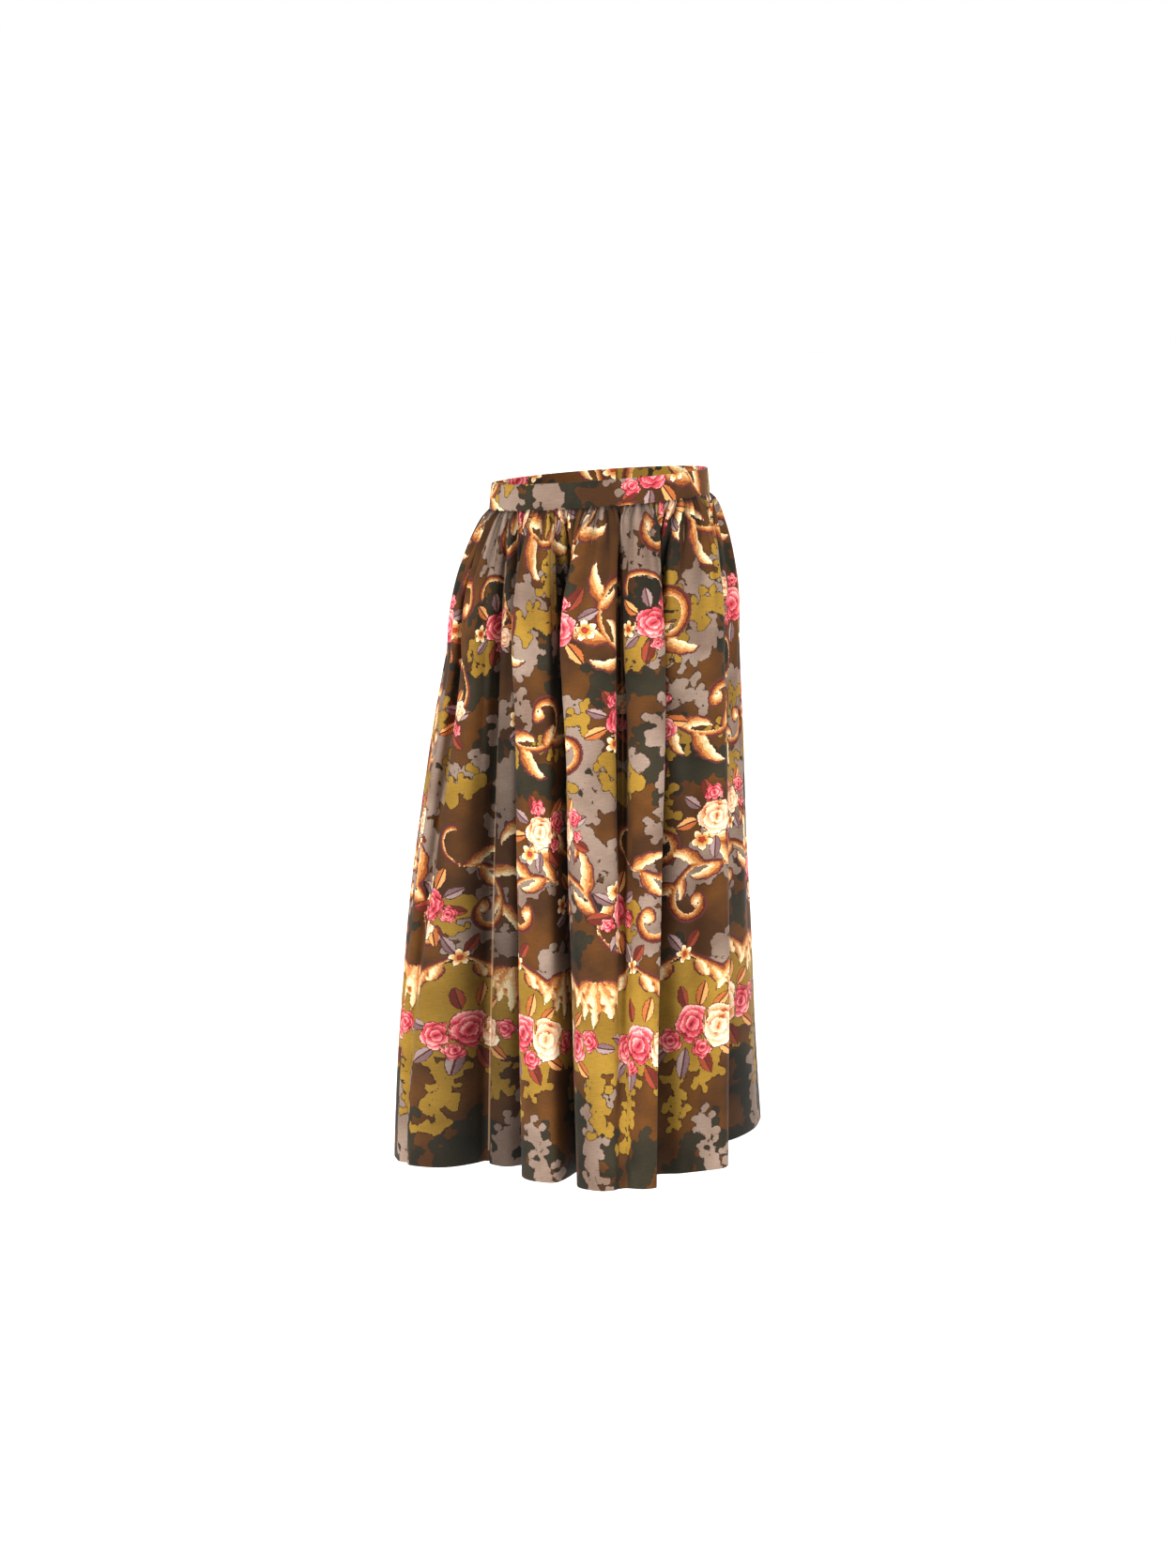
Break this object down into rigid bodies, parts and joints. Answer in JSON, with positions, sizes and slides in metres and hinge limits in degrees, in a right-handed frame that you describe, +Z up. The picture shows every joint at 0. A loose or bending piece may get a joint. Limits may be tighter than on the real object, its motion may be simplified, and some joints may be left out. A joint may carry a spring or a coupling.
{
  "type": "gathered midi skirt",
  "caption": "Hollow gathered midi skirt in worn form, with soft uneven folds, a narrow waistband and a button lap at the centre back.",
  "frame": {"origin": "on the waist's upright axis, at the middle of the waistband's height", "axes": "+Z up, -Y to the wearer's front, +X to the wearer's left"},
  "size_m": [0.4126, 0.4199, 0.785],
  "materials": {
    "printed_cloth": "soft wool challis with a dense floral and scroll print",
    "dark_horn": "satin"
  },
  "bodies": {
    "root": {"front_panel": "printed_cloth", "back_left_panel": "printed_cloth", "back_right_panel": "printed_cloth", "waistband": "printed_cloth", "waist_button": "dark_horn"}
  },
  "joints": []
}
